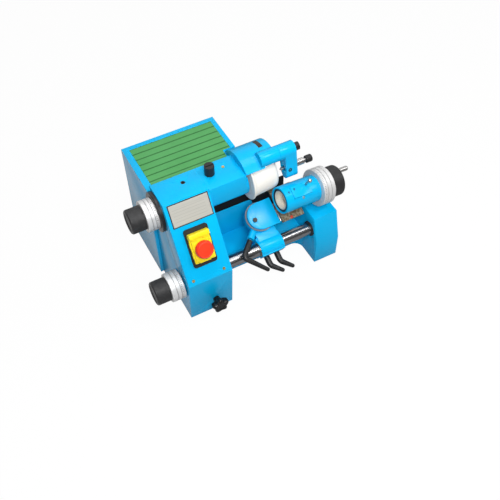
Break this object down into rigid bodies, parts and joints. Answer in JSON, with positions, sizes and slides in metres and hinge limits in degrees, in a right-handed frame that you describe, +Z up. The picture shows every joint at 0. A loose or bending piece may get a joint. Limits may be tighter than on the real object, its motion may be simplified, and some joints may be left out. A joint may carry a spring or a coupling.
{
  "type": "tool and cutter grinder",
  "caption": "Bench tool and cutter grinder: column with sloped switch panel, overhung cup wheel and dresser, rear tray cabinet, and a bar-guided carriage with a swivelling indexed workhead.",
  "frame": {"origin": "on the floor in the middle of the foot, under the bed's middle rib", "axes": "+X along the spindle towards the wheel, +Y to the back, +Z up"},
  "size_m": [0.5176, 0.3418, 0.3175],
  "materials": {
    "blue_paint": "gloss enamel",
    "steel": "machined",
    "satin_steel": "satin, graduated",
    "bar_steel": "ground and polished",
    "ground_steel": "scraped",
    "black_plastic": "knurled or moulded",
    "blackened_steel": "black oxide",
    "green_mat": "ribbed",
    "plate": "satin, bare",
    "yellow_lid": "moulded",
    "red_button": "moulded",
    "green_button": "moulded",
    "brass": "turned",
    "motor_paint": "satin",
    "aluminium": "turned",
    "belt": "woven",
    "wiper": "moulded",
    "abrasive": "vitrified grit"
  },
  "bodies": {
    "frame": {"column_casting": "blue_paint", "base_casting": "blue_paint", "cabinet_shell": "blue_paint", "cabinet_cover": "blue_paint", "cover_screws": "steel", "tray_mat": "green_mat", "spindle_head": "blue_paint", "wheel_guard": "blue_paint", "socket_screws": "blackened_steel", "splash_wall": "blue_paint", "dial_flange": "blackened_steel", "nameplate": "plate", "switch_plate": "black_plastic", "switch_block": "black_plastic", "brass_screws": "brass", "motor_housing": "motor_paint", "motor_bracket": "steel", "drive_belt": "belt", "bar_wiper": "wiper", "cord_inlet": "black_plastic", "dresser_pivot": "blackened_steel"},
    "quill": {"quill_sleeve": "steel", "spindle_bearings": "steel"},
    "spindle": {"spindle_shaft": "steel", "spindle_pulley": "aluminium", "grinding_wheel": "abrasive", "wheel_nut": "steel"},
    "motor": {"motor_rotor": "steel", "motor_pulley": "aluminium"},
    "upper_feed": {"upper_dial": "satin_steel", "upper_knob": "black_plastic"},
    "lower_feed": {"lower_dial": "satin_steel", "lower_knob": "black_plastic"},
    "bar": {"guide_bar": "bar_steel"},
    "star": {"star_knob": "black_plastic"},
    "quill_lock": {"quill_lock_knob": "blackened_steel"},
    "dresser": {"dresser_arm": "blue_paint"},
    "dresser_feed": {"dresser_rod": "bar_steel", "dresser_knob": "blackened_steel"},
    "liner": {"carriage_liner": "brass"},
    "carriage": {"carriage_body": "blue_paint", "scale_ring": "satin_steel"},
    "lever_left": {"bar_clamp_lever_left": "blackened_steel"},
    "lever_right": {"bar_clamp_lever_right": "blackened_steel"},
    "lever_swivel": {"swivel_clamp_lever": "blackened_steel"},
    "swivel": {"swivel_slab": "blue_paint", "swivel_bolt": "blackened_steel", "slide_table": "ground_steel", "tilt_pin": "steel"},
    "workhead": {"workhead_body": "blue_paint"},
    "work": {"work_spindle": "blackened_steel", "collet": "satin_steel", "index_dial": "satin_steel", "drawbar_knob": "black_plastic", "crank_pin": "steel"},
    "plunger": {"index_plunger": "steel"},
    "lid": {"switch_lid": "yellow_lid"},
    "stop": {"stop_button": "red_button"},
    "start": {"start_button": "green_button"}
  },
  "joints": [
    {"name": "upper_feed_turn", "type": "hinge", "parent": "frame", "child": "upper_feed", "pos_m": [-0.1915, -0.0205, 0.236], "axis": [1, 0, 0], "range_deg": [-720, 720]},
    {"name": "quill_feed", "type": "slide", "parent": "frame", "child": "quill", "axis": [1, 0, 0], "range_m": [-0.002, 0.002]},
    {"name": "spindle_spin", "type": "hinge", "parent": "quill", "child": "spindle", "pos_m": [-0.1915, -0.0205, 0.236], "axis": [1, 0, 0], "continuous": true},
    {"name": "motor_spin", "type": "hinge", "parent": "frame", "child": "motor", "pos_m": [-0.1915, 0.082, 0.118], "axis": [1, 0, 0], "continuous": true},
    {"name": "lower_feed_turn", "type": "hinge", "parent": "frame", "child": "lower_feed", "pos_m": [-0.1915, -0.1105, 0.093], "axis": [1, 0, 0], "range_deg": [-720, 720]},
    {"name": "bar_feed", "type": "slide", "parent": "frame", "child": "bar", "axis": [1, 0, 0], "range_m": [-0.005, 0.005]},
    {"name": "bar_clamp_turn", "type": "hinge", "parent": "frame", "child": "star", "pos_m": [-0.1295, -0.1545, 0.04], "axis": [0, -1, 0], "range_deg": [-120, 120]},
    {"name": "quill_lock_turn", "type": "hinge", "parent": "frame", "child": "quill_lock", "pos_m": [-0.067, -0.0205, 0.2855], "axis": [0, 0, 1], "range_deg": [-90, 90]},
    {"name": "dresser_swing", "type": "hinge", "parent": "frame", "child": "dresser", "pos_m": [0.0783, -0.0485, 0.3005], "axis": [1, 0, 0], "range_deg": [-100, 25]},
    {"name": "dresser_rod_feed", "type": "slide", "parent": "dresser", "child": "dresser_feed", "axis": [1, 0, 0], "range_m": [-0.0015, 0.01]},
    {"name": "carriage_slide", "type": "slide", "parent": "bar", "child": "liner", "axis": [1, 0, 0], "range_m": [-0.028, 0.008]},
    {"name": "carriage_swing", "type": "hinge", "parent": "liner", "child": "carriage", "pos_m": [-0.0015, -0.1105, 0.093], "axis": [1, 0, 0], "range_deg": [0, 60]},
    {"name": "lever_left_turn", "type": "hinge", "parent": "carriage", "child": "lever_left", "pos_m": [0.0175, -0.10962, 0.06348], "axis": [0, 0.866, 0.5], "range_deg": [-60, 15]},
    {"name": "lever_right_turn", "type": "hinge", "parent": "carriage", "child": "lever_right", "pos_m": [0.0435, -0.10962, 0.06348], "axis": [0, 0.866, 0.5], "range_deg": [-60, 15]},
    {"name": "lever_swivel_turn", "type": "hinge", "parent": "carriage", "child": "lever_swivel", "pos_m": [0.0014, -0.08228, 0.12765], "axis": [-0.7061, -0.6859, -0.1757], "range_deg": [0, 60]},
    {"name": "swivel_turn", "type": "hinge", "parent": "carriage", "child": "swivel", "pos_m": [0.0255, -0.06612, 0.14622], "axis": [0, -0.5, 0.866], "range_deg": [-3, 3.5]},
    {"name": "workhead_tilt", "type": "hinge", "parent": "swivel", "child": "workhead", "pos_m": [0.1084, -0.06884, 0.16492], "axis": [0, 0.866, 0.5], "range_deg": [-9, 2]},
    {"name": "work_spin", "type": "hinge", "parent": "workhead", "child": "work", "pos_m": [0.0635, -0.09011, 0.20177], "axis": [0.9877, 0.0782, -0.1355], "continuous": true},
    {"name": "plunger_lift", "type": "slide", "parent": "workhead", "child": "plunger", "axis": [0.1564, -0.4938, 0.8554], "range_m": [0, 0.004], "stiffness_N_per_m": 400},
    {"name": "lid_swing", "type": "hinge", "parent": "frame", "child": "lid", "pos_m": [-0.1645, -0.10071, 0.22532], "axis": [1, 0, 0], "range_deg": [-80, 0]},
    {"name": "stop_press", "type": "slide", "parent": "lid", "child": "stop", "axis": [0, -0.8589, 0.5121], "range_m": [-0.004, 0], "stiffness_N_per_m": 600},
    {"name": "start_press", "type": "slide", "parent": "frame", "child": "start", "axis": [0, -0.8589, 0.5121], "range_m": [-0.003, 0], "stiffness_N_per_m": 400}
  ],
  "couplings": [
    {"joint": "quill_feed", "follows": "upper_feed_turn", "m_per_rad": 0.00015915},
    {"joint": "bar_feed", "follows": "lower_feed_turn", "m_per_rad": 0.00039789},
    {"joint": "spindle_spin", "follows": "motor_spin", "ratio": 1.75}
  ]
}
